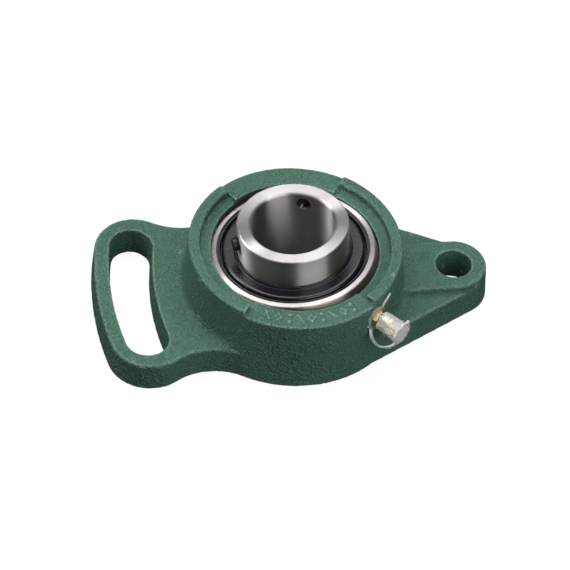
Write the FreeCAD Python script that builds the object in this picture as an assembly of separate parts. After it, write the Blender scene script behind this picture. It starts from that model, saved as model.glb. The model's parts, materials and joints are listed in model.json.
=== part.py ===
import FreeCAD, Part
import math
import os

# Two-bolt adjustable flange unit for a 30 mm shaft: a cast housing with one round bolt hole and one arc
# slot, holding a self-aligning insert bearing.
# Millimetres. The origin is the bearing centre, which is also the centre of the spherical seat.
# +Z points out of the front, +X points to the round bolt hole. The mounting face lies at z = -18.7.

V = FreeCAD.Vector
X_AXIS = V(1, 0, 0)
Z_AXIS = V(0, 0, 1)
ORIGIN = V(0, 0, 0)

# ---- housing casting ----
FACE_Z = -18.7            # mounting face
RIM_Z = 12.6              # top of the two raised rims
POCKET_Z = 9.5            # ledge inside the raised rims, level with the squared outer ring
ARM_Z = -7.5              # top of the slotted arm and of the web
LUG_Z = -4.5              # top of the bolt lug
DRAFT = 0.07              # inset per mm of height, from the mould's draft
BOSS_R = 40.8             # boss radius at the mounting face
BOSS_TOP_R = 38.4
RIM_ROUND = 1.1           # rounding of the rims' outer and inner edges
POCKET_R = 34.2
POCKET_FILLET = 0.8
PAD_ROUND = 0.5
FRONT_PAD = (-126.5, -52.0, 10.2)    # start and end azimuth, height
BACK_PAD = (54.0, 126.5, 11.1)
BOLT_X = 59.0
BOLT_R = 6.5
LUG_X = 59.4              # centre of the lug's round end, a little outside the hole
LUG_R = 12.4
WEB_ROOT_R = 40.3         # circle about the bearing centre that the web's straight sides touch
ARM_R = 130.75            # outer edge of the arm, struck about the bolt hole
ARM_END_R = 15.3
ARM_END_ANGLE = 10.65
NECK_R = 22.0
SLOT_R = 116.8            # centre line of the slot, struck about the bolt hole
SLOT_HALF_WIDTH = 7.8     # at the top of the arm
SLOT_BASE_HALF_WIDTH = 7.0
SLOT_END_ANGLE = 11.0
FOOT_FILLET = 2.4
FOOT_OVERLAP = 0.6        # how far the foot fillet reaches into its plate
WALL_OVERLAP = 0.1        # how far it reaches into the boss wall
BOSS_CORE = 5.0           # stock inside the mouth before it is machined
SAME_POINT = 1e-6
EDGE_ROUND = 0.9
EDGE_STEPS = 3

# ---- foundry marks on the front pad ----
MARK_COUNT = 9
MARK_FIRST = -115.5
MARK_STEP = 6.6
MARK_RADIUS = 34.3
MARK_HEIGHT = 0.6
MARK_ROOT = 0.5           # how far a mark reaches down into the pad
BAR_LENGTH = 4.4
BAR_WIDTH = 0.9
BAR_LEAN = 32.0
LOZENGE = (2.2, 1.5)      # half length along the radius, half width
LOZENGE_HOLE = (1.2, 0.7)
PIP_R = 0.8
PIP_SPACING = 1.5

# ---- seat ----
RING_SPHERE_R = 31.0
SEAT_CLEARANCE = 0.03
SEAT_R = RING_SPHERE_R + SEAT_CLEARANCE
MOUTH_R = 30.1
LOADING_SLOT_R = 31.4
LOADING_SLOT_WIDTH = 19.8
BACK_OPENING_R = 33.0
BACK_OPENING_DEPTH = 2.0
SEAT_GROOVE_DEPTH = 0.25
SEAT_GROOVE_FLOOR = 0.5   # half widths of the seat's grease groove
SEAT_GROOVE_MOUTH = 0.9

# ---- insert bearing ----
TILT = 4.9                # the insert stands tilted in its seat
TILT_TOWARDS = 144.0      # azimuth its front leans to
SHAFT_R = 15.0
INNER_R = 20.1
INNER_FRONT = 22.2
INNER_BACK = 15.9
BORE_ROUND = 1.25
FRONT_ROUND = 0.65        # rounding of the inner ring's outer front edge
BACK_ROUND = 0.8
BACK_BORE_ROUND = 0.9
OUTER_HALF_WIDTH = 9.5
OUTER_ROUND = 1.1
OUTER_LAND_R = 27.6       # recess that holds the seal
OUTER_LAND_DEPTH = 2.9
OUTER_SHOULDER_R = 26.0
BALL_R = 4.7625
BALL_COUNT = 9
PITCH_R = 23.0
GROOVE_R = 4.92
GROOVE_CLEARANCE = 0.02
LUBE_Z = 3.9              # grease groove of the ring and height of the nipple above the centre
LUBE_HOLE_R = 0.75
LUBE_GROOVE_DEPTH = 1.1
LUBE_GROOVE_FLOOR = 0.6   # half widths of the ring's grease groove
LUBE_GROOVE_MOUTH = 1.0
LUBE_GROOVE_REACH = 0.6   # how far the groove's profile stands out of the sphere

# ---- cage ----
CAGE_IN_R = 21.2
CAGE_OUT_R = 24.8
CAGE_SHEET = 0.9
POCKET_CLEARANCE = 0.12
RIVET_R = 0.6
RIVET_HEAD_R = 1.05
RIVET_CROWN_R = 0.7
RIVET_HEAD_H = 0.5
RIVET_HEAD_EDGE = 0.2
RIVET_FIT = 0.02
RIVET_HOLE_REACH = 3.0
CAGE_BLANK = 20.0

# ---- seals and flingers ----
SEAL_Z = OUTER_HALF_WIDTH - OUTER_LAND_DEPTH
SEAL_IN_R = 22.0
SEAL_SHEET = 0.6
SEAL_BEAD = (26.2, 26.9, 9.35)       # inner and outer radius and top of the seal's rolled rim
SEAL_FLANGE = 2.0         # height of the wall pressed into the recess
SEAL_BEND = 0.3
LIP_IN_R = 20.2
LIP_HALF_EDGE = 0.35
LIP_HANG = (0.5, 0.7)     # the lip's lowest corner, out from its edge and down from the plate
LIP_SHOULDER = 0.9
LIP_BOND = 0.2            # rubber over and under the plate's inner edge
FLINGER_OUT_R = 25.65
FLINGER_TOP = 9.75
FLINGER_CREST = 10.7      # top of the collar that grips the inner ring
FLINGER_SHEET = 0.5
FLINGER_SHOULDER = 1.2
FLINGER_SKIRT = 1.55
COLLAR_UNDER = 0.15
COLLAR_FLARE = 0.6        # height over which the collar leaves the inner ring
COLLAR_CREST_IN = 0.45    # the crest's edges and the collar's foot, out from the inner ring
COLLAR_CREST_OUT = 0.85
COLLAR_FOOT = 1.2
COLLAR_BACK = 0.9
COLLAR_BENDS = (0.12, 0.2, 0.3)

# ---- set screws ----
SCREW_R = 2.6
SCREW_ROOT_R = 2.25
SCREW_CLEARANCE = 0.05
SCREW_PITCH = 0.8
SCREW_LENGTH = 6.0
SCREW_POINT = 0.6
SCREW_START_R = 16.2      # radius of the inner end, backed off from the shaft
SCREW_HEIGHT = INNER_FRONT - 5.0
SCREW_AZIMUTHS = (66.0, 186.0)
SCREW_SOCKET_AF = 2.5
SCREW_SOCKET_DEPTH = 2.6
SCREW_CUP = (1.1, 1.5)    # inner and outer radius of the point's rim
SCREW_RIB = (0.3, 0.4, 0.7)          # start of the crest, its end and the rib's end
SCREW_RIB_START = 0.2
SCREW_PLAIN = 1.2         # length without thread
SCREW_CHAMFER = 0.1
SCREW_HOLE_START = 12.0
SCREW_HOLE_LENGTH = 12.0

# ---- grease nipple, along its own axis from the bearing axis outwards ----
NIPPLE_AZIMUTH = -50.0
SPOT_FACE = 38.5
SPOT_FACE_R = 5.6
THREAD_R = 3.0
THREAD_LENGTH = 4.6
THREAD_FIT = 0.02
THREAD_CHAMFER = 0.6
TAP_EXTRA = 0.4           # tapped depth beyond the thread's end
SPOT_FACE_DEPTH = 8.0
CHANNEL_FIT = 0.1
TETHER_SHEET = 0.8
HEX_START = SPOT_FACE + TETHER_SHEET
HEX_AF = 7.0
HEX_CORNER_R = 4.1
HEX_CHAMFER = 0.35
HEX_FACE_RIM = 0.1        # chamfer circle beyond the flats
HEX_CORE = 0.4            # hexagon's bore beyond the grease channel
HEX_LENGTH = 2.4
HEX_END = HEX_START + HEX_LENGTH
NECK_LENGTH = 2.7
NECK_IN_R = 2.3
NECK_FLARE = (0.2, 0.6)   # widening at the hexagon and its length
NIPPLE_TIP = 49.4
HEAD_R = 3.2
TIP_R = 1.4
TIP_EDGE = 0.1
HEAD_START = 0.8          # the head's widest part, from the end of the neck
HEAD_STOP = 1.7
HEAD_ROUND = 0.3
VALVE_THROAT = 0.45
CHANNEL_R = 1.15
TIP_HOLE_R = 0.7
VALVE_SEAT = NIPPLE_TIP - 0.9
CHECK_BALL_R = 1.0
CHECK_BALL_AT = VALVE_SEAT - 0.55
SPRING_START = 40.0
SPRING_R = 0.85
SPRING_WIRE_R = 0.14
SPRING_TURNS = 8
SPRING_NEST = 0.25        # how far the last turn sits around the ball
CAP_MOUTH = 42.0
CAP_END = 51.0
CAP_IN_R = 3.33
CAP_MOUTH_R = 3.65
CAP_WAIST_R = 3.95
CAP_FLANGE_R = 4.4
CAP_FLANGE = 0.9          # thickness of the cap's end flange
CAP_ROUND = 0.3
CAP_UNDERCUT = 0.15
TAB_ROOT = (3.9, 0.8)     # distance from the axis and half width
TAB_TIP = (5.3, 0.3)
TAB_STEP = 0.2
TETHER_RING_R = 4.2
TETHER_FIT = 0.03
ROOT_START = 3.4          # where strap and tail leave the ring
ROOT_LENGTH = 1.6
STRAP_LOOP_R = 5.7
STRAP_LOOP_CENTRE = (45.05, 2.6)
STRAP_HALF_SHEET = 0.4
STRAP_WIDTH = 1.7
STRAP_GAP = 0.15          # strap's end below the cap's top
STRAP_BOX = (10.0, 8.0)   # space the loop is cut from, outwards and across
STRAP_BOX_START = 4.0
CAP_GAP = 0.05
FLANGE_GAP = 0.1
TAIL_LENGTH = 6.2
TAIL_WIDTH = 1.2
TAIL_STEP = 0.2           # the tail is thinner than the ring
STRAP_ANGLE = 45.0        # lean of the strap's plane about the nipple, from level to downwards


def at_angle(radius, degrees, z=0.0):
    turn = math.radians(degrees)
    return V(radius * math.cos(turn), radius * math.sin(turn), z)


def rounded_wire(corners):
    """Closed wire through (point, bend) corners, each rounded by an arc of its bend radius."""
    spans = []
    for index, (corner, bend) in enumerate(corners):
        if bend == 0:
            spans.append((corner, None, corner))
            continue
        back = (corners[index - 1][0] - corner).normalize()
        ahead = (corners[(index + 1) % len(corners)][0] - corner).normalize()
        half = back.getAngle(ahead) / 2
        inward = (back + ahead).normalize()
        reach = bend / math.tan(half)
        middle = corner + inward * (bend / math.sin(half) - bend)
        spans.append((corner + back * reach, middle, corner + ahead * reach))
    edges = []
    for index, (start, middle, end) in enumerate(spans):
        if middle is not None:
            edges.append(Part.Arc(start, middle, end).toShape())
        edges.append(Part.makeLine(end, spans[(index + 1) % len(spans)][0]))
    return Part.Wire(edges)


def profile(points):
    """Face in the XZ plane from (radius, z) or (radius, z, bend) corners."""
    return Part.Face(rounded_wire([(V(p[0], 0, p[1]), p[2] if len(p) > 2 else 0) for p in points]))


def revolved(points):
    """Solid of revolution about Z."""
    return profile(points).revolve(ORIGIN, Z_AXIS, 360)


def arc_edge(centre, radius, start, end, z):
    """Arc about centre from the direction start to the direction end, the short way round."""
    a = math.atan2(start.y, start.x)
    sweep = (math.atan2(end.y, end.x) - a + math.pi) % (2 * math.pi) - math.pi
    points = []
    for part in (0.0, 0.5, 1.0):
        t = a + sweep * part
        points.append(V(centre.x + radius * math.cos(t), centre.y + radius * math.sin(t), z))
    return Part.Arc(*points).toShape(), points[0], points[2]


def plate(outline, z_top):
    """Drafted casting plate from the mounting face up to z_top, its top edge rounded in steps."""
    levels = [(FACE_Z, 0.0)]
    for step in range(EDGE_STEPS + 1):
        turn = math.radians(90 * step / EDGE_STEPS)
        z = z_top - EDGE_ROUND * (1 - math.sin(turn))
        levels.append((z, EDGE_ROUND * (1 - math.cos(turn)) + (z - FACE_Z) * DRAFT))
    wires = [outline(inset, z) for z, inset in levels]
    return Part.makeLoft(wires, True, True)


def boss_wall_r(z):
    """Radius of the boss's tapered outer wall."""
    return BOSS_R - (BOSS_R - BOSS_TOP_R) * (z - FACE_Z) / (RIM_Z - FACE_Z)


def boss_foot(outline, z_top):
    """Concave fillet between the boss wall and the top of one plate."""
    f = FOOT_FILLET
    wall = boss_wall_r(z_top)
    corner = V(wall + f, 0, z_top + f)
    middle = corner + V(-f, 0, -f) * math.sqrt(0.5)
    bend = [V(wall + f, 0, z_top), middle, V(wall - WALL_OVERLAP, 0, z_top + f)]
    start = V(wall - 2, 0, z_top - FOOT_OVERLAP)
    low = V(wall + f, 0, z_top - FOOT_OVERLAP)
    high = V(wall - 2, 0, z_top + f)
    edges = [Part.makeLine(start, low), Part.makeLine(low, bend[0]), Part.Arc(*bend).toShape()]
    edges += [Part.makeLine(bend[2], high), Part.makeLine(high, start)]
    ring = Part.Face(Part.Wire(edges)).revolve(ORIGIN, Z_AXIS, 360)
    inset = EDGE_ROUND + (z_top - FACE_Z) * DRAFT
    column = Part.Face(outline(inset, z_top - FOOT_OVERLAP)).extrude(V(0, 0, f + 2 * FOOT_OVERLAP))
    return ring.common(column)


def chain(arcs, z):
    """Closed wire through arcs, with straight edges where two arcs don't meet."""
    edges = []
    made = [arc_edge(*arc, z) for arc in arcs]
    for index, (edge, first, last) in enumerate(made):
        edges.append(edge)
        following = made[(index + 1) % len(made)][1]
        if last.distanceToPoint(following) > SAME_POINT:
            edges.append(Part.makeLine(last, following))
    return Part.Wire(edges)


def circles_meet(c0, r0, c1, r1):
    """The crossing point, with the larger y, of two circles."""
    gap = c1 - c0
    d = gap.Length
    along = (r0 * r0 - r1 * r1 + d * d) / (2 * d)
    off = math.sqrt(r0 * r0 - along * along)
    unit = gap * (1 / d)
    first = c0 + unit * along + V(-unit.y, unit.x, 0) * off
    second = c0 + unit * along - V(-unit.y, unit.x, 0) * off
    return first if first.y > second.y else second


def mirrored(point):
    return V(point.x, -point.y, point.z)


def arm_outline(inset, z):
    bolt = V(BOLT_X, 0, 0)
    end = bolt + at_angle(ARM_R - ARM_END_R, 180 - ARM_END_ANGLE)
    neck = circles_meet(ORIGIN, BOSS_R + NECK_R, end, ARM_END_R + NECK_R)
    end_low = mirrored(end)
    neck_low = mirrored(neck)
    arcs = [
        (neck, NECK_R + inset, ORIGIN - neck, end - neck),
        (end, ARM_END_R - inset, neck - end, end - bolt),
        (bolt, ARM_R - inset, end - bolt, end_low - bolt),
        (end_low, ARM_END_R - inset, end_low - bolt, neck_low - end_low),
        (neck_low, NECK_R + inset, end_low - neck_low, ORIGIN - neck_low),
    ]
    return chain(arcs, z)


def web_outline(inset, z):
    """Straight-sided web that narrows from the boss to the round end of the lug."""
    lug = V(LUG_X, 0, 0)
    lean = math.degrees(math.acos((WEB_ROOT_R - LUG_R) / LUG_X))
    up = at_angle(1, lean)
    lower, first, _ = arc_edge(lug, LUG_R - inset, mirrored(up), X_AXIS, z)
    upper, _, last = arc_edge(lug, LUG_R - inset, X_AXIS, up, z)
    root = at_angle(WEB_ROOT_R - inset, lean, z)
    corners = [last, root, mirrored(root), first]
    sides = [Part.makeLine(corners[k], corners[k + 1]) for k in range(3)]
    return Part.Wire([lower, upper] + sides)


def lug_outline(inset, z):
    """Parallel-sided raised pad that runs from inside the boss to the round end of the lug."""
    lug = V(LUG_X, 0, 0)
    half = LUG_R - inset
    up = V(0, 1, 0)
    lower, first, _ = arc_edge(lug, half, mirrored(up), X_AXIS, z)
    upper, _, last = arc_edge(lug, half, X_AXIS, up, z)
    corners = [last, V(0, half, z), V(0, -half, z), first]
    sides = [Part.makeLine(corners[k], corners[k + 1]) for k in range(3)]
    return Part.Wire([lower, upper] + sides)


def slot_outline(half_width, z):
    """Closed arc slot, struck about the bolt hole, with round ends."""
    bolt = V(BOLT_X, 0, 0)
    back = at_angle(1, 180 - SLOT_END_ANGLE)
    front = mirrored(back)
    arcs = [
        (bolt, SLOT_R + half_width, back, front),
        (bolt + front * SLOT_R, half_width, front, V(-front.y, front.x, 0)),
        (bolt + front * SLOT_R, half_width, V(-front.y, front.x, 0), front * -1),
        (bolt, SLOT_R - half_width, front, back),
        (bolt + back * SLOT_R, half_width, back * -1, V(back.y, -back.x, 0)),
        (bolt + back * SLOT_R, half_width, V(back.y, -back.x, 0), back),
    ]
    return chain(arcs, z)


def arc_slot():
    """Cored slot, wider at the top of the arm than at the mounting face."""
    taper = (SLOT_HALF_WIDTH - SLOT_BASE_HALF_WIDTH) / (ARM_Z - FACE_Z)
    wires = []
    for z in (FACE_Z - 1, ARM_Z + 1):
        wires.append(slot_outline(SLOT_HALF_WIDTH + (z - ARM_Z) * taper, z))
    return Part.makeLoft(wires, True, True)


def seat_space():
    """Everything machined out of the boss: mouth, spherical seat, grease groove, loading slots."""
    side = math.sqrt(SEAT_R ** 2 - MOUTH_R ** 2)
    space = Part.makeCylinder(MOUTH_R, RIM_Z - FACE_Z + 2, V(0, 0, FACE_Z - 1))
    band = Part.makeCylinder(SEAT_R + 1, 2 * side, V(0, 0, -side))
    space = space.fuse(Part.makeSphere(SEAT_R).common(band))
    slot = Part.makeCylinder(LOADING_SLOT_R, -FACE_Z + 1, V(0, 0, FACE_Z - 1))
    depth = -FACE_Z + 2
    corner = V(-LOADING_SLOT_WIDTH / 2, -SEAT_R - 2, -depth)
    box = Part.makeBox(LOADING_SLOT_WIDTH, 2 * SEAT_R + 4, depth, corner)
    space = space.fuse(slot.common(box))
    back = revolved([
        (0, FACE_Z - 1), (BACK_OPENING_R + 1, FACE_Z - 1), (BACK_OPENING_R, FACE_Z),
        (MOUTH_R, FACE_Z + BACK_OPENING_DEPTH), (0, FACE_Z + BACK_OPENING_DEPTH),
    ])
    floor_r = SEAT_R + SEAT_GROOVE_DEPTH
    groove = revolved([
        (SEAT_R - 1, LUBE_Z - SEAT_GROOVE_MOUTH), (floor_r, LUBE_Z - SEAT_GROOVE_FLOOR),
        (floor_r, LUBE_Z + SEAT_GROOVE_FLOOR), (SEAT_R - 1, LUBE_Z + SEAT_GROOVE_MOUTH),
    ])
    return space.fuse([back, groove])


def pad_marks():
    """Plain foundry marks cast on the front pad: slanted bars, open lozenges and pairs of pips."""
    base = FRONT_PAD[2] - MARK_ROOT
    height = MARK_ROOT + MARK_HEIGHT
    marks = []
    for index in range(MARK_COUNT):
        azimuth = MARK_FIRST + MARK_STEP * index
        centre = at_angle(MARK_RADIUS, azimuth, base)
        if index % 3 == 0:
            corner = centre - V(BAR_LENGTH / 2, BAR_WIDTH / 2, 0)
            made = [Part.makeBox(BAR_LENGTH, BAR_WIDTH, height, corner)]
            made[0].rotate(centre, Z_AXIS, azimuth + BAR_LEAN)
        elif index % 3 == 1:
            outside = lozenge(*LOZENGE, height, centre)
            made = [outside.cut(lozenge(*LOZENGE_HOLE, height, centre))]
            made[0].rotate(centre, Z_AXIS, azimuth)
        else:
            out = at_angle(PIP_SPACING, azimuth)
            made = [Part.makeCylinder(PIP_R, height, centre + out * side) for side in (-1, 1)]
        marks += made
    return marks


def lozenge(half_length, half_width, height, centre):
    corners = [V(half_length, 0, 0), V(0, half_width, 0), V(-half_length, 0, 0), V(0, -half_width, 0)]
    corners = [centre + corner for corner in corners]
    return Part.Face(Part.makePolygon(corners + corners[:1])).extrude(V(0, 0, height))


def nipple_placed(solid):
    """Moves a piece modelled along +X at the bearing centre's height to the nipple's place."""
    solid.translate(V(0, 0, LUBE_Z))
    solid.rotate(ORIGIN, Z_AXIS, NIPPLE_AZIMUTH)
    return solid


def along_x(radius, start, end):
    return Part.makeCylinder(radius, end - start, V(start, 0, 0), X_AXIS)


def boss_wedge(start, end, top, pocket):
    """Part of the boss between two azimuths; pocket lowers its inside and leaves a rim."""
    hollow_r = MOUTH_R - BOSS_CORE
    points = [(hollow_r, FACE_Z), (BOSS_R, FACE_Z)]
    if pocket:
        points += [(boss_wall_r(top), top, RIM_ROUND), (POCKET_R, top, RIM_ROUND)]
        points += [(POCKET_R, POCKET_Z, POCKET_FILLET), (hollow_r, POCKET_Z)]
    else:
        points += [(boss_wall_r(top), top, PAD_ROUND), (hollow_r, top)]
    wedge = profile(points).revolve(ORIGIN, Z_AXIS, end - start)
    return wedge.rotate(ORIGIN, Z_AXIS, start)


def make_boss():
    """Tapered round boss with two raised rims and, between them, two flat pads."""
    wedges = [boss_wedge(*pad, False) for pad in (FRONT_PAD, BACK_PAD)]
    wedges.append(boss_wedge(FRONT_PAD[1], BACK_PAD[0], RIM_Z, True))
    wedges.append(boss_wedge(BACK_PAD[1], FRONT_PAD[0] + 360, RIM_Z, True))
    return wedges[0].fuse(wedges[1:])


def make_housing():
    outlines = ((arm_outline, ARM_Z), (web_outline, ARM_Z), (lug_outline, LUG_Z))
    parts = [plate(outline, z_top) for outline, z_top in outlines]
    parts += [boss_foot(outline, z_top) for outline, z_top in outlines]
    solid = make_boss().fuse(parts)
    bolt_hole = Part.makeCylinder(BOLT_R, LUG_Z - FACE_Z + 2, V(BOLT_X, 0, FACE_Z - 1))
    solid = solid.cut([arc_slot(), bolt_hole])
    solid = solid.cut(seat_space())
    tapped = along_x(THREAD_R, SPOT_FACE - THREAD_LENGTH - TAP_EXTRA, SPOT_FACE + 1)
    channel = along_x(CHANNEL_R + CHANNEL_FIT, MOUTH_R - 1, SPOT_FACE)
    spot = along_x(SPOT_FACE_R, SPOT_FACE, SPOT_FACE + SPOT_FACE_DEPTH)
    solid = solid.cut([nipple_placed(tool) for tool in (tapped, channel, spot)])
    return solid.fuse(pad_marks()).removeSplitter()


def make_outer_ring():
    """Ring with a spherical outside, a ball groove, seal recesses and a grease groove with two holes."""
    width = 2 * OUTER_HALF_WIDTH
    ring = Part.makeSphere(RING_SPHERE_R)
    ring = ring.common(Part.makeCylinder(RING_SPHERE_R + 1, width, V(0, 0, -OUTER_HALF_WIDTH)))
    ring = ring.cut(Part.makeCylinder(OUTER_SHOULDER_R, width + 2, V(0, 0, -OUTER_HALF_WIDTH - 1)))
    for z in (SEAL_Z, -OUTER_HALF_WIDTH - 1):
        ring = ring.cut(Part.makeCylinder(OUTER_LAND_R, OUTER_LAND_DEPTH + 1, V(0, 0, z)))
    centre = PITCH_R + BALL_R + GROOVE_CLEARANCE - GROOVE_R
    ring = ring.cut(Part.makeTorus(centre, GROOVE_R))
    floor_r = RING_SPHERE_R - LUBE_GROOVE_DEPTH
    mouth_r = RING_SPHERE_R + LUBE_GROOVE_REACH
    groove = revolved([
        (mouth_r, LUBE_Z - LUBE_GROOVE_MOUTH), (floor_r, LUBE_Z - LUBE_GROOVE_FLOOR),
        (floor_r, LUBE_Z + LUBE_GROOVE_FLOOR), (mouth_r, LUBE_Z + LUBE_GROOVE_MOUTH),
    ])
    holes = []
    for azimuth in (NIPPLE_AZIMUTH, NIPPLE_AZIMUTH + 180):
        hole = Part.makeCylinder(LUBE_HOLE_R, RING_SPHERE_R - PITCH_R, V(PITCH_R + 1, 0, LUBE_Z), X_AXIS)
        holes.append(hole.rotate(ORIGIN, Z_AXIS, azimuth))
    ring = ring.cut([groove] + holes)
    return ring.makeFillet(OUTER_ROUND, [edge for edge in ring.Edges if on_outer_corner(edge)])


def on_outer_corner(edge):
    """Whether an edge is the circle where the ring's face meets its spherical outside."""
    corner_r = math.sqrt(RING_SPHERE_R ** 2 - OUTER_HALF_WIDTH ** 2)
    for point in edge.discretize(9):
        if abs(abs(point.z) - OUTER_HALF_WIDTH) > SAME_POINT:
            return False
        if abs(math.hypot(point.x, point.y) - corner_r) > SAME_POINT:
            return False
    return True


def make_inner_ring():
    ring = revolved([
        (SHAFT_R, -INNER_BACK, BACK_BORE_ROUND), (INNER_R, -INNER_BACK, BACK_ROUND),
        (INNER_R, INNER_FRONT, FRONT_ROUND), (SHAFT_R, INNER_FRONT, BORE_ROUND),
    ])
    centre = PITCH_R - BALL_R - GROOVE_CLEARANCE + GROOVE_R
    ring = ring.cut(Part.makeTorus(centre, GROOVE_R))
    for azimuth in SCREW_AZIMUTHS:
        start = V(SCREW_HOLE_START, 0, SCREW_HEIGHT)
        hole = Part.makeCylinder(SCREW_R + SCREW_CLEARANCE, SCREW_HOLE_LENGTH, start, X_AXIS)
        ring = ring.cut(hole.rotate(ORIGIN, Z_AXIS, azimuth))
    return ring


def ball_azimuth(index):
    return 90 + index * 360 / BALL_COUNT


def make_ball(index):
    return Part.makeSphere(BALL_R, at_angle(PITCH_R, ball_azimuth(index)))


def make_cage_half(side):
    """One pressed half of the cage: a flat ring with a dished pocket over each ball."""
    blank = Part.makeCylinder(CAGE_OUT_R, CAGE_BLANK, V(0, 0, 0 if side > 0 else -CAGE_BLANK))
    blank = blank.cut(Part.makeCylinder(CAGE_IN_R, 2 * CAGE_BLANK + 2, V(0, 0, -CAGE_BLANK - 1)))
    flat = Part.makeCylinder(CAGE_OUT_R + 1, CAGE_SHEET, V(0, 0, 0 if side > 0 else -CAGE_SHEET))
    pocket_r = BALL_R + POCKET_CLEARANCE
    half = blank.common(flat)
    for index in range(BALL_COUNT):
        dish = Part.makeSphere(pocket_r + CAGE_SHEET, at_angle(PITCH_R, ball_azimuth(index)))
        half = half.fuse(blank.common(dish))
    for index in range(BALL_COUNT):
        half = half.cut(Part.makeSphere(pocket_r, at_angle(PITCH_R, ball_azimuth(index))))
        spot = at_angle(PITCH_R, ball_azimuth(index + 0.5), -RIVET_HOLE_REACH)
        half = half.cut(Part.makeCylinder(RIVET_R + RIVET_FIT, 2 * RIVET_HOLE_REACH, spot))
    return half.removeSplitter()


def make_rivets():
    rivets = []
    crown_z = CAGE_SHEET + RIVET_HEAD_H
    edge_z = CAGE_SHEET + RIVET_HEAD_EDGE
    for index in range(BALL_COUNT):
        rivet = revolved([
            (0, -crown_z), (RIVET_CROWN_R, -crown_z), (RIVET_HEAD_R, -edge_z),
            (RIVET_HEAD_R, -CAGE_SHEET), (RIVET_R, -CAGE_SHEET), (RIVET_R, CAGE_SHEET),
            (RIVET_HEAD_R, CAGE_SHEET), (RIVET_HEAD_R, edge_z), (RIVET_CROWN_R, crown_z), (0, crown_z),
        ])
        rivet.translate(at_angle(PITCH_R, ball_azimuth(index + 0.5)))
        rivets.append(rivet)
    return Part.makeCompound(rivets)


def on_side(points, side):
    """Profile given for the front side, mirrored for the back when side is -1."""
    return revolved([(p[0], side * p[1]) + p[2:] for p in points])


def make_seal_plate(side):
    """Sheet ring pressed into the outer ring, with a rolled rim that stands up to the ring's face."""
    bead_in, bead_out, bead_top = SEAL_BEAD
    return on_side([
        (SEAL_IN_R, SEAL_Z), (OUTER_LAND_R, SEAL_Z), (OUTER_LAND_R, SEAL_Z + SEAL_FLANGE),
        (bead_out, SEAL_Z + SEAL_FLANGE), (bead_out, bead_top, SEAL_BEND), (bead_in, bead_top, SEAL_BEND),
        (bead_in, SEAL_Z + SEAL_SHEET, SEAL_BEND), (SEAL_IN_R, SEAL_Z + SEAL_SHEET),
    ], side)


def make_seal_lip(side):
    hang_out, hang_down = LIP_HANG
    top = SEAL_Z + SEAL_SHEET
    return on_side([
        (LIP_IN_R, SEAL_Z - LIP_HALF_EDGE), (LIP_IN_R + hang_out, SEAL_Z - hang_down),
        (SEAL_IN_R, SEAL_Z - LIP_BOND), (SEAL_IN_R, top), (LIP_IN_R + LIP_SHOULDER, top + LIP_BOND),
        (LIP_IN_R, SEAL_Z + LIP_HALF_EDGE),
    ], side)


def make_flinger(side):
    """Pressed disc that turns with the inner ring: a gripping collar, a flat and a rounded skirt."""
    under = FLINGER_TOP - FLINGER_SHEET
    skirt_in = FLINGER_OUT_R - FLINGER_SHEET
    skirt_end = FLINGER_TOP - FLINGER_SKIRT
    crest_in, crest_out, foot = COLLAR_BENDS
    return on_side([
        (INNER_R, under - COLLAR_UNDER), (INNER_R, FLINGER_CREST - COLLAR_FLARE),
        (INNER_R + COLLAR_CREST_IN, FLINGER_CREST, crest_in),
        (INNER_R + COLLAR_CREST_OUT, FLINGER_CREST, crest_out), (INNER_R + COLLAR_FOOT, FLINGER_TOP, foot),
        (FLINGER_OUT_R, FLINGER_TOP, FLINGER_SHOULDER), (FLINGER_OUT_R, skirt_end),
        (skirt_in, skirt_end), (skirt_in, under, FLINGER_SHOULDER - FLINGER_SHEET),
        (INNER_R + COLLAR_BACK, under),
    ], side)


def make_set_screw(azimuth):
    """Threaded plug with a hex socket outside and a cup point inside."""
    start = SCREW_START_R
    end = SCREW_START_R + SCREW_LENGTH
    cup_in, cup_out = SCREW_CUP
    crest, crest_end, rib_end = SCREW_RIB
    points = [(0, start + SCREW_POINT), (cup_in, start), (cup_out, start)]
    points.append((SCREW_ROOT_R, start + SCREW_POINT))
    for rib in range(int((SCREW_LENGTH - SCREW_PLAIN) / SCREW_PITCH)):
        z = start + SCREW_POINT + SCREW_RIB_START + rib * SCREW_PITCH
        points += [(SCREW_ROOT_R, z), (SCREW_R, z + crest)]
        points += [(SCREW_R, z + crest_end), (SCREW_ROOT_R, z + rib_end)]
    points += [(SCREW_ROOT_R, end - SCREW_CHAMFER), (SCREW_ROOT_R - SCREW_CHAMFER, end), (0, end)]
    socket = hex_prism(SCREW_SOCKET_AF, SCREW_SOCKET_DEPTH + 1, end - SCREW_SOCKET_DEPTH)
    screw = turned_to_x(revolved(points).cut(socket))
    screw.translate(V(0, 0, SCREW_HEIGHT))
    return screw.rotate(ORIGIN, Z_AXIS, azimuth)


def hex_prism(across_flats, height, z):
    corner = across_flats / math.sqrt(3)
    corners = [at_angle(corner, 60 * side, z) for side in range(7)]
    return Part.Face(Part.makePolygon(corners)).extrude(V(0, 0, height))


def turned_to_x(solid):
    """Lays a piece made along +Z down along +X."""
    return solid.rotate(ORIGIN, V(0, 1, 0), 90)


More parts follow.
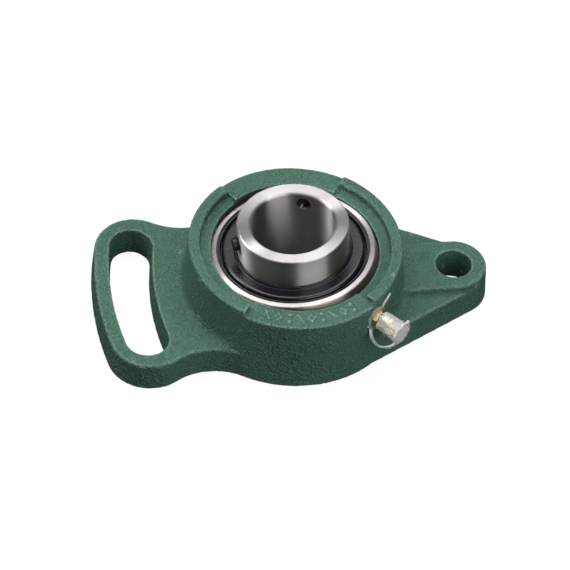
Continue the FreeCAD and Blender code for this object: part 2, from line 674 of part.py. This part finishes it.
def make_nipple_body():
    """Threaded shank, hexagon, neck and head, with the grease channel and the valve seat inside."""
    thread_start = SPOT_FACE - THREAD_LENGTH
    shank_r = THREAD_R - THREAD_FIT
    neck_end = HEX_END + NECK_LENGTH
    flare, flare_length = NECK_FLARE
    body = revolved([
        (CHANNEL_R, thread_start), (THREAD_R - THREAD_CHAMFER, thread_start),
        (shank_r, thread_start + THREAD_CHAMFER), (shank_r, HEX_END), (NECK_IN_R + flare, HEX_END),
        (NECK_IN_R, HEX_END + flare_length), (NECK_IN_R, neck_end),
        (HEAD_R, neck_end + HEAD_START, HEAD_ROUND), (HEAD_R, neck_end + HEAD_STOP, HEAD_ROUND),
        (TIP_R + TIP_EDGE, NIPPLE_TIP, HEAD_ROUND), (TIP_HOLE_R, NIPPLE_TIP),
        (TIP_HOLE_R, VALVE_SEAT + VALVE_THROAT), (CHANNEL_R, VALVE_SEAT),
    ])
    face_r = HEX_AF / 2 + HEX_FACE_RIM
    nut = hex_prism(HEX_AF, HEX_LENGTH, HEX_START).common(revolved([
        (0, HEX_START), (face_r, HEX_START), (HEX_CORNER_R, HEX_START + HEX_CHAMFER),
        (HEX_CORNER_R, HEX_END - HEX_CHAMFER), (face_r, HEX_END), (0, HEX_END),
    ]))
    nut = nut.cut(Part.makeCylinder(CHANNEL_R + HEX_CORE, HEX_LENGTH + 2, V(0, 0, HEX_START - 1)))
    return nipple_placed(turned_to_x(body.fuse(nut).removeSplitter()))


def make_check_ball():
    """Ball that rests against the edge of its seat behind the tip."""
    return nipple_placed(Part.makeSphere(CHECK_BALL_R, V(CHECK_BALL_AT, 0, 0)))


def make_nipple_spring():
    """Coil spring behind the check ball, resting on the stop at the thread's end."""
    length = CHECK_BALL_AT - CHECK_BALL_R - SPRING_WIRE_R + SPRING_NEST - SPRING_START
    helix = Part.makeHelix(length / SPRING_TURNS, length, SPRING_R)
    section = Part.Wire(Part.makeCircle(SPRING_WIRE_R, V(SPRING_R, 0, 0), V(0, 1, 0)))
    spring = Part.Wire(helix.Edges).makePipeShell([section], True, True)
    spring.translate(V(0, 0, SPRING_START))
    return nipple_placed(turned_to_x(spring))


def strap_side(solid):
    """Turns a piece whose strap lies towards +Y about the nipple's axis into the strap's plane."""
    return solid.rotate(ORIGIN, X_AXIS, 180 + STRAP_ANGLE)


def make_nipple_cap():
    """Moulded cap over the nipple's head, with an end flange and a small pull tab."""
    flange = CAP_END - CAP_FLANGE
    cap = turned_to_x(revolved([
        (CAP_IN_R, CAP_MOUTH), (CAP_MOUTH_R, CAP_MOUTH), (CAP_WAIST_R, flange, CAP_ROUND),
        (CAP_FLANGE_R, flange, CAP_UNDERCUT), (CAP_FLANGE_R, CAP_END, CAP_ROUND), (0, CAP_END), (0, flange),
        (CAP_IN_R, flange),
    ]))
    root, root_half = TAB_ROOT
    tip, tip_half = TAB_TIP
    corners = [V(flange, -root, -root_half), V(flange, -root, root_half)]
    corners += [V(flange, -tip, tip_half), V(flange, -tip, -tip_half)]
    tab = Part.Face(Part.makePolygon(corners + corners[:1])).extrude(V(CAP_FLANGE - TAB_STEP, 0, 0))
    return nipple_placed(strap_side(cap.fuse(tab).removeSplitter()))


def make_cap_tether():
    """Ring held under the nipple's hexagon, the strap that loops to the cap, and the free tail."""
    ring = along_x(TETHER_RING_R, SPOT_FACE, SPOT_FACE + TETHER_SHEET)
    centre = V(*STRAP_LOOP_CENTRE, -STRAP_WIDTH / 2)
    loop = Part.makeCylinder(STRAP_LOOP_R + STRAP_HALF_SHEET, STRAP_WIDTH, centre)
    inside = Part.makeCylinder(STRAP_LOOP_R - STRAP_HALF_SHEET, STRAP_WIDTH + 2, centre - Z_AXIS)
    out, across = STRAP_BOX
    keep_corner = V(SPOT_FACE, STRAP_BOX_START, -across / 2)
    keep = Part.makeBox(CAP_END - STRAP_GAP - SPOT_FACE, out, across, keep_corner)
    loop = loop.cut(inside).common(keep)
    root = Part.makeBox(TETHER_SHEET, ROOT_LENGTH, STRAP_WIDTH, V(SPOT_FACE, ROOT_START, -STRAP_WIDTH / 2))
    tail_start = V(SPOT_FACE + TAIL_STEP, -ROOT_START - TAIL_LENGTH, -TAIL_WIDTH / 2)
    tail = Part.makeBox(TETHER_SHEET - TAIL_STEP, TAIL_LENGTH, TAIL_WIDTH, tail_start)
    shank = along_x(THREAD_R + TETHER_FIT, SPOT_FACE - 1, CAP_MOUTH)
    flange = along_x(CAP_FLANGE_R + TETHER_FIT, CAP_END - CAP_FLANGE - FLANGE_GAP, CAP_END + 1)
    tether = ring.fuse([root, loop, tail]).cut([shank, flange])
    barrel = Part.makeCone(CAP_MOUTH_R, CAP_WAIST_R + CAP_GAP, CAP_END - CAP_MOUTH, V(0, 0, CAP_MOUTH))
    return nipple_placed(strap_side(tether.cut(turned_to_x(barrel)).removeSplitter()))


def tilted(solid):
    axis = at_angle(1, TILT_TOWARDS + 90)
    return solid.rotate(ORIGIN, axis, TILT)


def save(name, solid):
    solid.exportStep("parts/" + name + ".step")
    volume = sum(piece.Volume for piece in solid.Solids)
    print(name, "solids", len(solid.Solids), "valid", solid.isValid(), "volume", round(volume, 2))


def main():
    os.makedirs("parts", exist_ok=True)
    save("housing", make_housing())
    save("outer_ring", tilted(make_outer_ring()))
    save("inner_ring", tilted(make_inner_ring()))
    save("cage_front_half", tilted(make_cage_half(1)))
    save("cage_back_half", tilted(make_cage_half(-1)))
    save("cage_rivets", tilted(make_rivets()))
    for index in range(BALL_COUNT):
        save("ball_" + str(index + 1), tilted(make_ball(index)))
    for name, side in (("front", 1), ("back", -1)):
        save(name + "_seal_plate", tilted(make_seal_plate(side)))
        save(name + "_seal_lip", tilted(make_seal_lip(side)))
        save(name + "_flinger", tilted(make_flinger(side)))
    for number, azimuth in enumerate(SCREW_AZIMUTHS, 1):
        save("set_screw_" + str(number), tilted(make_set_screw(azimuth)))
    save("nipple_body", make_nipple_body())
    save("nipple_check_ball", make_check_ball())
    save("nipple_spring", make_nipple_spring())
    save("nipple_cap", make_nipple_cap())
    save("cap_tether", make_cap_tether())


main()
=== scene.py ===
import json
import math

import bpy
import numpy as np
from mathutils import Matrix, Vector, noise


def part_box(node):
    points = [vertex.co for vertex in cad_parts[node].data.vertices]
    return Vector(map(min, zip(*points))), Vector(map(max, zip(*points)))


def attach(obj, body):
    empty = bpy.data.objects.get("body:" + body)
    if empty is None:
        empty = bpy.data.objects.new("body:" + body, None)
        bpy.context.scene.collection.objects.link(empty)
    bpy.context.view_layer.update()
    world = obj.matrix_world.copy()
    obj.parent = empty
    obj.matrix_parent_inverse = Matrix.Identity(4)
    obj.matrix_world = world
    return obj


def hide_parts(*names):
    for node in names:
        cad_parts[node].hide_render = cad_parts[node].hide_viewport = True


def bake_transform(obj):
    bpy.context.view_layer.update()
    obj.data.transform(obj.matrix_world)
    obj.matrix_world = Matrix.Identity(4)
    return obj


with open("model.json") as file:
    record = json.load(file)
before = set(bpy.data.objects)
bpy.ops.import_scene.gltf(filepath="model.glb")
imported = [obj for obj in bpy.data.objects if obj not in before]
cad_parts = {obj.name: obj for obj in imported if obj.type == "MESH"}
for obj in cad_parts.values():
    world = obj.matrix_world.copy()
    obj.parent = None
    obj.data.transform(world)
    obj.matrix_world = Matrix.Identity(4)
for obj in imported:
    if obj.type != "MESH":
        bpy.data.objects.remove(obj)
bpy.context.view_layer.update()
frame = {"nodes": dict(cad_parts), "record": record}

MM = 0.001

# Places of the design, in the row frame (origin at the bearing centre, +Z out of the front).
FLOOR_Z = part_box("housing")[0].z
SEAT_R = 31.06 * MM
SEAT_HALF_WIDTH = 7.2 * MM
MOUTH_R = 30.1 * MM
MOUTH_Z = 9.5 * MM
RING_SPHERE_R = 31.0 * MM
FLOOR_GAP = 0.1 * MM
MARKS_Z = 9.9 * MM
MARKS_IN_R = 31.6 * MM
MARKS_OUT_R = 37.2 * MM
MARKS_START = math.radians(-121.0)
MARKS_END = math.radians(-57.0)
MARK_SHARPNESS = 0.7

# How near a machined surface a point of the casting has to be to belong to it.
MOUTH_MARGIN = 0.3 * MM
SEAT_MARGIN = 0.35 * MM
SEAT_SNAP = 0.3 * MM
FACE_MARGIN = 0.25 * MM

# Casting: mesh size, smoothing, and the two sizes of bump in its skin (heights in mm, densities per metre).
CASTING_VOXEL = 0.34 * MM
CASTING_FACES = 96000
SMOOTHING_ROUNDS = 4
SMOOTHING_SHARE = 0.5
WAVE_HEIGHT = 0.05
WAVE_DENSITY = 170.0
GRAIN_HEIGHT = 0.05
GRAIN_DENSITY = 620.0

# Material slots of the casting.
ENAMEL_SLOT = 0
SEAT_SLOT = 1
FACE_SLOT = 2

STRAP_VOXEL = 0.14 * MM
STRAP_ROUNDS = 4
STRAP_SHARE = 0.5
BALL_COUNT = 9
SHARP_ANGLE = math.radians(35)

# Painted shade and dark reflection on the outer ring's spherical outside begin and are full at these
# distances from the bearing centre.
OD_SHADE_START = RING_SPHERE_R - 0.4 * MM
OD_SHADE_FULL = RING_SPHERE_R - 0.05 * MM

# Most of a noise texture's values lie between these.
NOISE_LOW = 0.3
NOISE_HIGH = 0.7

# Sockets of a colour Mix node.
MIX_SHARE = 0
MIX_A = 6
MIX_B = 7
MIX_RESULT = 2

# Turns the tilted insert's axis upright, about X and then about Y.
mounts = {mount["name"]: mount for mount in frame["record"]["mounts"]}
SHAFT_AXIS = Vector(mounts["shaft_bore"]["axis"]).normalized()
LEAN_X = math.atan2(SHAFT_AXIS.y, SHAFT_AXIS.z)
LEAN_Y = -math.atan2(SHAFT_AXIS.x, math.hypot(SHAFT_AXIS.y, SHAFT_AXIS.z))
INSERT_UNTILT = (LEAN_X, LEAN_Y, 0.0)

# Camera: a long lens from the front left, looking down.
CAM_AZIMUTH = math.radians(-12.55)
CAM_ELEVATION = math.radians(47.88)
CAM_ROLL = math.radians(5.23)
CAM_DISTANCE = 1.653
CAM_AIM = Vector((-1.5, 4.55, -14.8)) * MM
CAM_LENS = 288.3
CAM_SENSOR = 36
CAM_NEAR = 0.05
CAM_FAR = 20

# World light: what all rays get, and what diffuse rays and the camera's own rays get on top.
WORLD_BASE = 0.03
WORLD_DIFFUSE = 0.07
WORLD_CAMERA = 0.95

FLOOR_REACH = 3.0
FLOOR_GREY = 0.1
FLOOR_ROUGHNESS = 0.9
FLOOR_GLOW = 0.93


def make_camera():
    ca, sa = math.cos(CAM_AZIMUTH), math.sin(CAM_AZIMUTH)
    ce, se = math.cos(CAM_ELEVATION), math.sin(CAM_ELEVATION)
    back = Vector((sa * ce, -ca * ce, se))
    level = Vector((ca, sa, 0))
    rise = back.cross(level)
    right = level * math.cos(CAM_ROLL) + rise * math.sin(CAM_ROLL)
    up = back.cross(right)
    data = bpy.data.cameras.new("camera")
    data.lens = CAM_LENS
    data.sensor_width = CAM_SENSOR
    data.clip_start = CAM_NEAR
    data.clip_end = CAM_FAR
    camera = bpy.data.objects.new("camera", data)
    turn = Matrix((right, up, back)).transposed().to_4x4()
    camera.matrix_world = Matrix.Translation(CAM_AIM + back * CAM_DISTANCE) @ turn
    bpy.context.scene.collection.objects.link(camera)
    bpy.context.scene.camera = camera


# ---- light and floor ----


def soft_box(name, azimuth, elevation, distance, width, height, radiance):
    """Soft box that faces the bearing centre; radiance is the brightness of its face."""
    a, e = math.radians(azimuth), math.radians(elevation)
    away = Vector((math.cos(a) * math.cos(e), math.sin(a) * math.cos(e), math.sin(e)))
    data = bpy.data.lights.new(name, "AREA")
    data.shape = "RECTANGLE"
    data.size = width
    data.size_y = height
    data.energy = radiance * math.pi * width * height
    light = bpy.data.objects.new(name, data)
    light.location = away * distance
    light.rotation_mode = "QUATERNION"
    light.rotation_quaternion = away.to_track_quat("Z", "Y")
    bpy.context.scene.collection.objects.link(light)


def make_world():
    """White backdrop; what the object is lit by and mirrors is much darker."""
    world = bpy.data.worlds.new("studio")
    world.use_nodes = True
    tree = world.node_tree
    ray = tree.nodes.new("ShaderNodeLightPath")
    backdrop = tree.nodes.new("ShaderNodeMath")
    backdrop.operation = "MULTIPLY_ADD"
    tree.links.new(ray.outputs["Is Camera Ray"], backdrop.inputs[0])
    backdrop.inputs[1].default_value = WORLD_CAMERA
    fill = tree.nodes.new("ShaderNodeMath")
    fill.operation = "MULTIPLY_ADD"
    tree.links.new(ray.outputs["Is Diffuse Ray"], fill.inputs[0])
    fill.inputs[1].default_value = WORLD_DIFFUSE
    fill.inputs[2].default_value = WORLD_BASE
    tree.links.new(fill.outputs[0], backdrop.inputs[2])
    tree.links.new(backdrop.outputs[0], tree.nodes["Background"].inputs["Strength"])
    tree.nodes["Background"].inputs["Color"].default_value = (1, 1, 1, 1)
    bpy.context.scene.world = world


def make_floor():
    corners = [(-FLOOR_REACH, -FLOOR_REACH), (FLOOR_REACH, -FLOOR_REACH)]
    corners += [(FLOOR_REACH, FLOOR_REACH), (-FLOOR_REACH, FLOOR_REACH)]
    mesh = bpy.data.meshes.new("floor")
    mesh.from_pydata([(x, y, FLOOR_Z - FLOOR_GAP) for x, y in corners], [], [(0, 1, 2, 3)])
    floor = bpy.data.objects.new("floor", mesh)
    bpy.context.scene.collection.objects.link(floor)
    floor.visible_diffuse = False
    floor.visible_glossy = False
    material = bpy.data.materials.new("floor_paper")
    material.use_nodes = True
    shader = material.node_tree.nodes["Principled BSDF"]
    shader.inputs["Base Color"].default_value = (FLOOR_GREY, FLOOR_GREY, FLOOR_GREY, 1)
    shader.inputs["Roughness"].default_value = FLOOR_ROUGHNESS
    shader.inputs["Specular IOR Level"].default_value = 0.0
    shader.inputs["Emission Color"].default_value = (1, 1, 1, 1)
    shader.inputs["Emission Strength"].default_value = FLOOR_GLOW
    mesh.materials.append(material)


def make_studio():
    bpy.context.scene.view_settings.view_transform = "Standard"
    make_world()
    make_floor()
    soft_box("top_box", azimuth=95, elevation=72, distance=1.0, width=0.95, height=0.85, radiance=4.4)
    soft_box("back_card", azimuth=87, elevation=40, distance=1.2, width=1.3, height=0.8, radiance=0.62)
    soft_box("left_box", azimuth=158, elevation=36, distance=0.9, width=0.3, height=0.5, radiance=9.5)
    soft_box("right_box", azimuth=-60, elevation=30, distance=1.0, width=0.9, height=0.75, radiance=3.4)


# ---- materials ----


class Shade:
    """One procedural material, built node by node."""

    def __init__(self, name, colour, roughness, metallic=0.0):
        self.material = bpy.data.materials.new(name)
        self.material.use_nodes = True
        self.tree = self.material.node_tree
        self.shader = self.tree.nodes["Principled BSDF"]
        self.set("Base Color", (*colour, 1))
        self.set("Roughness", roughness)
        self.set("Metallic", metallic)
        self.point = self.node("ShaderNodeTexCoord").outputs["Object"]
        self.height = None
        self.tone = None

    def node(self, kind, **values):
        made = self.tree.nodes.new(kind)
        for key, value in values.items():
            setattr(made, key, value)
        return made

    def set(self, socket, value):
        self.shader.inputs[socket].default_value = value

    def link(self, output, socket):
        self.tree.links.new(output, socket)

    def stretched(self, scale):
        mapping = self.node("ShaderNodeMapping")
        mapping.inputs["Scale"].default_value = scale
        self.link(self.point, mapping.inputs["Vector"])
        return mapping.outputs["Vector"]

    def noise(self, scale, detail=3.0, roughness=0.55, stretch=None):
        """Noise whose features are about 1/scale metres across."""
        made = self.node("ShaderNodeTexNoise")
        made.inputs["Scale"].default_value = scale
        made.inputs["Detail"].default_value = detail
        made.inputs["Roughness"].default_value = roughness
        self.link(self.stretched(stretch) if stretch else self.point, made.inputs["Vector"])
        return made.outputs["Fac"]

    def turning_marks(self, scale):
        """Fine rings around the tilted insert's own axis, on its faces and its cylinders alike."""
        upright = self.node("ShaderNodeMapping")
        upright.inputs["Rotation"].default_value = INSERT_UNTILT
        self.link(self.point, upright.inputs["Vector"])
        flat = self.node("ShaderNodeVectorMath", operation="MULTIPLY")
        self.link(upright.outputs["Vector"], flat.inputs[0])
        flat.inputs[1].default_value = (1, 1, 0)
        around = self.node("ShaderNodeVectorMath", operation="LENGTH")
        self.link(flat.outputs["Vector"], around.inputs[0])
        parts = self.node("ShaderNodeSeparateXYZ")
        self.link(upright.outputs["Vector"], parts.inputs["Vector"])
        place = self.node("ShaderNodeCombineXYZ")
        self.link(around.outputs["Value"], place.inputs["X"])
        self.link(parts.outputs["Z"], place.inputs["Z"])
        marks = self.node("ShaderNodeTexNoise")
        marks.inputs["Scale"].default_value = scale
        marks.inputs["Detail"].default_value = 2.0
        self.link(place.outputs["Vector"], marks.inputs["Vector"])
        return marks.outputs["Fac"]

    def product(self, a, b):
        made = self.node("ShaderNodeMath", operation="MULTIPLY")
        self.link(a, made.inputs[0])
        self.link(b, made.inputs[1])
        return made.outputs["Value"]

    def ramp(self, value, stops):
        made = self.node("ShaderNodeValToRGB")
        elements = made.color_ramp.elements
        for index, (place, colour) in enumerate(stops):
            element = elements[index] if index < 2 else elements.new(place)
            element.position = place
            element.color = (*colour, 1)
        self.link(value, made.inputs["Fac"])
        return made.outputs["Color"]

    def remap(self, value, low, high, to_low, to_high):
        made = self.node("ShaderNodeMapRange")
        made.inputs["From Min"].default_value = low
        made.inputs["From Max"].default_value = high
        made.inputs["To Min"].default_value = to_low
        made.inputs["To Max"].default_value = to_high
        self.link(value, made.inputs["Value"])
        return made.outputs["Result"]

    def mix(self, share, a, b):
        """Colour a blended towards colour b by share."""
        made = self.node("ShaderNodeMix", data_type="RGBA")
        for socket, value in ((MIX_SHARE, share), (MIX_A, a), (MIX_B, b)):
            if isinstance(value, tuple):
                made.inputs[socket].default_value = (*value, 1)
            else:
                self.link(value, made.inputs[socket])
        return made.outputs[MIX_RESULT]

    def two_tone(self, value, low, high):
        """Colour from low to high over the usual range of a noise."""
        return self.ramp(value, [(NOISE_LOW, low), (NOISE_HIGH, high)])

    def vary(self, value, to_low, to_high):
        """Number from to_low to to_high over the usual range of a noise."""
        return self.remap(value, NOISE_LOW, NOISE_HIGH, to_low, to_high)

    def edges(self):
        """About 0.5 on flat faces, higher along outside edges, lower in corners."""
        return self.node("ShaderNodeNewGeometry").outputs["Pointiness"]

    def bump(self, value, distance, strength=1.0):
        made = self.node("ShaderNodeBump")
        made.inputs["Strength"].default_value = strength
        made.inputs["Distance"].default_value = distance
        self.link(value, made.inputs["Height"])
        if self.height is not None:
            self.link(self.height, made.inputs["Normal"])
        self.height = made.outputs["Normal"]
        self.link(self.height, self.shader.inputs["Normal"])

    def colour(self, output):
        self.link(output, self.shader.inputs["Base Color"])

    def roughness(self, output):
        self.link(output, self.shader.inputs["Roughness"])


def green_enamel():
    """Dark green enamel over a sand casting: pebbled grain, lighter on the pebbles' tops where the coat is
    thin, and a painted highlight along outside edges.
    """
    dark_coat = (0.041, 0.116, 0.076)
    light_coat = (0.054, 0.143, 0.101)
    thin_coat = (0.11, 0.215, 0.175)
    pit = (0.02, 0.066, 0.044)
    painted_edge_highlight = (0.30, 0.46, 0.40)
    s = Shade("green_enamel", (0.048, 0.14, 0.09), 0.36)
    broad = s.noise(60, 3)
    pebbles = s.noise(1000, 3, 0.6)
    grit = s.noise(2600, 2, 0.6)
    tone = s.ramp(broad, [(0.32, dark_coat), (0.68, light_coat)])
    tone = s.mix(s.remap(pebbles, 0.5, 0.68, 0.0, 0.55), tone, thin_coat)
    tone = s.mix(s.remap(grit, 0.46, 0.34, 0.0, 0.4), tone, pit)
    # Painted highlight: a much lighter green along outside edges, broken up by the grit into glints, stands
    # in for lamp reflections on rounded edges.
    on_edge = s.remap(s.edges(), 0.507, 0.545, 0.0, 0.8)
    glint_breakup = s.remap(grit, 0.42, 0.58, 0.1, 1.0)
    tone = s.mix(s.product(on_edge, glint_breakup), tone, painted_edge_highlight)
    s.colour(tone)
    s.roughness(s.vary(grit, 0.2, 0.4))
    s.bump(pebbles, 0.0015, 1.0)
    s.bump(grit, 0.00025, 0.7)
    return s.material


def turned_iron(name, low, high):
    """Bare turned cast iron; low and high are its darkest and lightest tones."""
    s = Shade(name, high, 0.45, 0.8)
    cloud = s.noise(140, 3)
    lines = s.noise(5200, 2, 0.6, stretch=(0.03, 0.03, 1.0))
    s.colour(s.two_tone(cloud, low, high))
    s.roughness(s.vary(lines, 0.38, 0.55))
    s.bump(lines, 0.00002, 0.4)
    return s.material


def ground_steel(name, low, high):
    """Ground bearing steel: fine lines around the axis, which draw reflections out across them."""
    s = Shade(name, high, 0.38, 1.0)
    lines = s.turning_marks(5200)
    cloud = s.noise(90, 2)
    s.tone = s.two_tone(cloud, low, high)
    s.colour(s.tone)
    s.roughness(s.vary(lines, 0.34, 0.42))
    s.bump(lines, 0.00002, 0.5)
    s.set("Anisotropic", 1.0)
    s.set("Anisotropic Rotation", 0.25)
    tangent = s.node("ShaderNodeTangent", direction_type="RADIAL", axis="Z")
    s.link(tangent.outputs["Tangent"], s.shader.inputs["Tangent"])
    return s


def outer_steel():
    """Ring steel whose spherical outside is painted dark brown: painted shade and painted reflection of the
    dark gap around the ring.
    """
    painted_shade_brown = (0.20, 0.165, 0.145)
    s = ground_steel("outer_steel", (0.53, 0.49, 0.475), (0.60, 0.56, 0.545))
    length = s.node("ShaderNodeVectorMath", operation="LENGTH")
    s.link(s.point, length.inputs[0])
    # Painted shade: the spherical outside is blended to dark brown, standing in for shadow and the dark gap
    # it mirrors.
    outside = s.remap(length.outputs["Value"], OD_SHADE_START, OD_SHADE_FULL, 0.0, 1.0)
    s.colour(s.mix(outside, s.tone, painted_shade_brown))
    return s.material


def grained(name, colour, roughness, metallic, grain_scale, grain_depth, spread):
    """Material with one grain that varies its colour, gloss and surface."""
    s = Shade(name, colour, roughness, metallic)
    grain = s.noise(grain_scale, 3, 0.6)
    low = tuple(c * 0.85 for c in colour)
    high = tuple(min(1.0, c * 1.15) for c in colour)
    s.colour(s.two_tone(grain, low, high))
    s.roughness(s.vary(grain, max(0.02, roughness - spread), roughness + spread))
    s.bump(grain, grain_depth, 0.4)
    return s.material


# Colour, roughness, metallic, grains per metre, grain depth in metres, how far the roughness varies.
GRAINED_LOOKS = {
    "ball_steel": ((0.7, 0.7, 0.7), 0.08, 1.0, 400, 0.000002, 0.03),
    "cage_steel": ((0.42, 0.40, 0.37), 0.35, 1.0, 500, 0.00001, 0.08),
    "seal_steel": ((0.010, 0.010, 0.012), 0.3, 0.0, 900, 0.00001, 0.08),
    "seal_rubber": ((0.010, 0.010, 0.010), 0.6, 0.0, 1200, 0.00002, 0.08),
    "flinger_paint": ((0.005, 0.005, 0.009), 0.26, 0.0, 600, 0.000003, 0.03),
    "black_oxide": ((0.02, 0.019, 0.018), 0.4, 0.6, 1500, 0.00002, 0.08),
    "nipple_brass": ((0.80, 0.63, 0.38), 0.22, 1.0, 300, 0.000004, 0.08),
    "spring_wire": ((0.5, 0.5, 0.5), 0.3, 1.0, 800, 0.00001, 0.08),
}


def milky_plastic():
    """Cloudy moulded plastic that lets the metal behind it show through."""
    s = Shade("milky_plastic", (0.86, 0.88, 0.87), 0.26)
    haze = s.noise(260, 2)
    s.colour(s.two_tone(haze, (0.87, 0.89, 0.88), (0.93, 0.95, 0.94)))
    s.roughness(s.vary(haze, 0.2, 0.28))
    s.set("Transmission Weight", 0.78)
    s.set("IOR", 1.38)
    s.bump(haze, 0.000008, 0.2)
    return s.material


def smooth_faces(mesh):
    mesh.polygons.foreach_set("use_smooth", [True] * len(mesh.polygons))


def paint(node, material):
    obj = frame["nodes"][node]
    obj.data.materials.clear()
    obj.data.materials.append(material)
    smooth_faces(obj.data)
    obj.data.set_sharp_from_angle(angle=SHARP_ANGLE)


# ---- housing ----


def apply_modifiers(obj):
    graph = bpy.context.evaluated_depsgraph_get()
    mesh = bpy.data.meshes.new_from_object(obj.evaluated_get(graph))
    obj.modifiers.clear()
    obj.data = mesh


def add_remesh(obj, voxel):
    remesh = obj.modifiers.new("remesh", "REMESH")
    remesh.mode = "VOXEL"
    remesh.voxel_size = voxel


def read_vectors(items, name):
    """One row of three numbers for each vertex or face."""
    values = np.zeros(len(items) * 3)
    items.foreach_get(name, values)
    return values.reshape(-1, 3)


def neighbour_mean(points, edges):
    """Mean place of the points that each point shares an edge with."""
    total = np.zeros_like(points)
    count = np.bincount(edges.ravel(), minlength=len(points)).astype(float)
    for axis in range(3):
        total[:, axis] = np.bincount(edges[:, 0], points[edges[:, 1], axis], len(points))
        total[:, axis] += np.bincount(edges[:, 1], points[edges[:, 0], axis], len(points))
    return total / np.maximum(count, 1)[:, None]


def is_machined(points):
    """Which points lie on the seat or in its mouth."""
    around = np.hypot(points[:, 0], points[:, 1])
    inside = (around < MOUTH_R + MOUTH_MARGIN) | (np.linalg.norm(points, axis=1) < SEAT_R + SEAT_MARGIN)
    return inside & (points[:, 2] < MOUTH_Z - MOUTH_MARGIN)


def is_face(points):
    """Which points lie on the mounting face."""
    return points[:, 2] < FLOOR_Z + FACE_MARGIN


def in_marks(points):
    """Which points belong to the raised foundry marks on the front pad."""
    around = np.hypot(points[:, 0], points[:, 1])
    azimuth = np.arctan2(points[:, 1], points[:, 0])
    sector = (azimuth > MARKS_START) & (azimuth < MARKS_END)
    band = (around > MARKS_IN_R) & (around < MARKS_OUT_R)
    return sector & band & (points[:, 2] > MARKS_Z)


def make_casting():
    """The housing with softened cast edges and an uneven skin."""
    source = frame["nodes"]["housing"]
    casting = bpy.data.objects.new("housing_casting", source.data.copy())
    bpy.context.scene.collection.objects.link(casting)
    add_remesh(casting, CASTING_VOXEL)
    apply_modifiers(casting)
    mesh = casting.data
    start = read_vectors(mesh.vertices, "co")
    edges = np.zeros(len(mesh.edges) * 2, int)
    mesh.edges.foreach_get("vertices", edges)
    edges = edges.reshape(-1, 2)
    points = start.copy()
    for _ in range(SMOOTHING_ROUNDS):
        points += SMOOTHING_SHARE * (neighbour_mean(points, edges) - points)
    marks = in_marks(start)
    points[marks] += MARK_SHARPNESS * (start[marks] - points[marks])
    radius = np.linalg.norm(start, axis=1)
    in_seat = (radius < SEAT_R + SEAT_SNAP) & (np.abs(start[:, 2]) < SEAT_HALF_WIDTH)
    points[in_seat] = start[in_seat] * (SEAT_R / radius[in_seat])[:, None]
    points[:, 2] = np.maximum(points[:, 2], FLOOR_Z)
    mesh.vertices.foreach_set("co", points.ravel())
    mesh.update()
    normals = read_vectors(mesh.vertices, "normal")
    lift = np.zeros(len(points))
    for index in np.flatnonzero(~is_machined(points) & ~is_face(points)):
        place = Vector(points[index])
        wave = WAVE_HEIGHT * noise.noise(place * WAVE_DENSITY)
        lift[index] = wave + GRAIN_HEIGHT * noise.noise(place * GRAIN_DENSITY)
    points += normals * lift[:, None] * MM
    points[:, 2] = np.maximum(points[:, 2], FLOOR_Z)
    mesh.vertices.foreach_set("co", points.ravel())
    thin = casting.modifiers.new("thin", "DECIMATE")
    thin.ratio = min(1.0, CASTING_FACES / len(mesh.polygons))
    apply_modifiers(casting)
    mesh = casting.data
    mesh.materials.clear()
    mesh.materials.append(green_enamel())
    # Painted shade: the seat and its mouth get a near-black copy of the face's turned iron, standing in for
    # the deep shadow in the gap around the ring.
    mesh.materials.append(turned_iron("seat_iron_painted_shade", (0.035, 0.029, 0.026), (0.065, 0.054, 0.048)))
    mesh.materials.append(turned_iron("face_iron", (0.17, 0.155, 0.14), (0.27, 0.25, 0.23)))
    centres = read_vectors(mesh.polygons, "center")
    slots = np.full(len(centres), ENAMEL_SLOT)
    slots[is_machined(centres)] = SEAT_SLOT
    slots[is_face(centres)] = FACE_SLOT
    mesh.polygons.foreach_set("material_index", slots)
    smooth_faces(mesh)
    mesh.update()
    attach(casting, "housing")
    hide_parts("housing")


# ---- grease nipple's strap and spring ----


def stretching_copy(name, node, material):
    """A node's mesh as a new piece with the given material."""
    piece = bpy.data.objects.new(name, frame["nodes"][node].data.copy())
    bpy.context.scene.collection.objects.link(piece)
    piece.data.materials.clear()
    piece.data.materials.append(material)
    return piece


def make_strap(plastic):
    """The cap's strap with softened edges."""
    strap = stretching_copy("cap_strap", "cap_tether", plastic)
    add_remesh(strap, STRAP_VOXEL)
    smooth = strap.modifiers.new("smooth", "SMOOTH")
    smooth.factor = STRAP_SHARE
    smooth.iterations = STRAP_ROUNDS
    apply_modifiers(strap)
    smooth_faces(strap.data)
    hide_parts("cap_tether")
    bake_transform(strap)


def make_spring(wire):
    """The valve's spring as a piece of its own."""
    spring = stretching_copy("valve_spring", "nipple_spring", wire)
    smooth_faces(spring.data)
    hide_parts("nipple_spring")
    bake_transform(spring)


make_camera()
make_studio()
make_casting()

steel = ground_steel("ground_steel", (0.39, 0.375, 0.365), (0.46, 0.44, 0.43)).material
looks = {name: grained(name, *values) for name, values in GRAINED_LOOKS.items()}
plastic = milky_plastic()
make_strap(plastic)
make_spring(looks["spring_wire"])

finishes = {
    "outer_ring": outer_steel(), "inner_ring": steel,
    "cage_front_half": looks["cage_steel"], "cage_back_half": looks["cage_steel"],
    "cage_rivets": looks["cage_steel"],
    "front_seal_plate": looks["seal_steel"], "back_seal_plate": looks["seal_steel"],
    "front_seal_lip": looks["seal_rubber"], "back_seal_lip": looks["seal_rubber"],
    "front_flinger": looks["flinger_paint"], "back_flinger": looks["flinger_paint"],
    "set_screw_1": looks["black_oxide"], "set_screw_2": looks["black_oxide"],
    "nipple_body": looks["nipple_brass"], "nipple_check_ball": looks["ball_steel"],
    "nipple_cap": plastic,
}
for number in range(1, BALL_COUNT + 1):
    finishes["ball_%d" % number] = looks["ball_steel"]
for node, material in finishes.items():
    paint(node, material)
